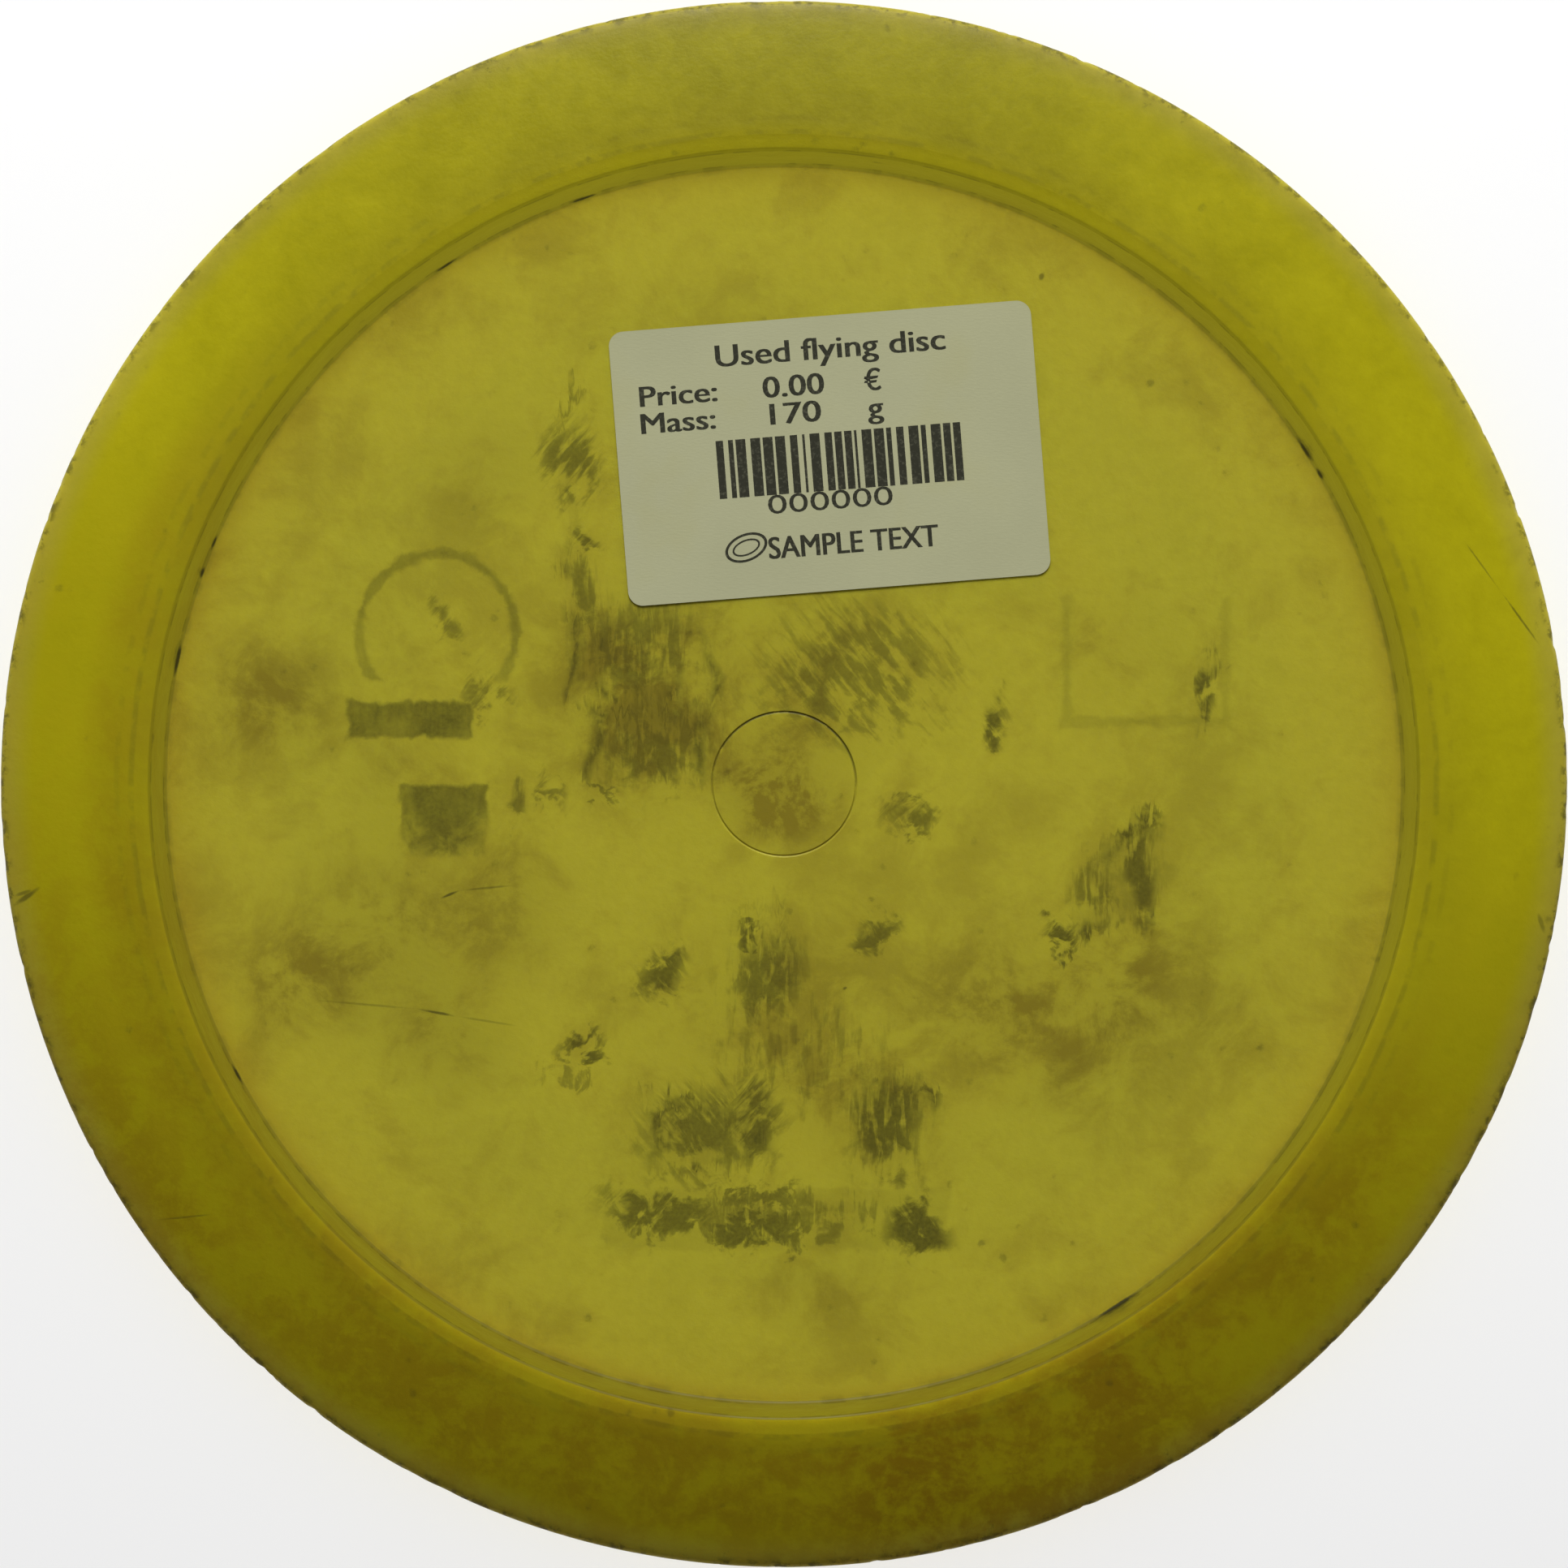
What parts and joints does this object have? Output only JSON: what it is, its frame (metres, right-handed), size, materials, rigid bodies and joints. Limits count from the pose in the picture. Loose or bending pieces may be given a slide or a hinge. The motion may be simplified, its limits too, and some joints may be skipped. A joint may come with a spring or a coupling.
{
  "type": "flying disc",
  "caption": "Wide-rimmed golf flying disc in yellow plastic, hollow side up, with a blank price label and worn foil stamp islands.",
  "frame": {"origin": "centre of the disc at the flat of the plate's outer face, which is the surface it lies on with its hollow up", "axes": "+Z is the disc's axis and points out of the hollow, +Y is the way up for the label's print, +X is to its right; in level flight +Z points at the ground"},
  "size_m": [0.211, 0.211, 0.0141],
  "materials": {
    "yellow_plastic": "satin",
    "label_paper": "matte",
    "worn_foil": "satin"
  },
  "bodies": {
    "root": {"disc_body": "yellow_plastic", "price_label": "label_paper", "foil_arc": "worn_foil", "foil_bar": "worn_foil", "foil_zigzag": "worn_foil", "foil_upper_comb": "worn_foil", "foil_lower_comb": "worn_foil", "foil_frame": "worn_foil", "foil_patch": "worn_foil", "foil_wedge": "worn_foil", "foil_ladder": "worn_foil", "foil_left_block": "worn_foil", "foil_right_block": "worn_foil", "foil_base_band": "worn_foil"}
  },
  "joints": []
}
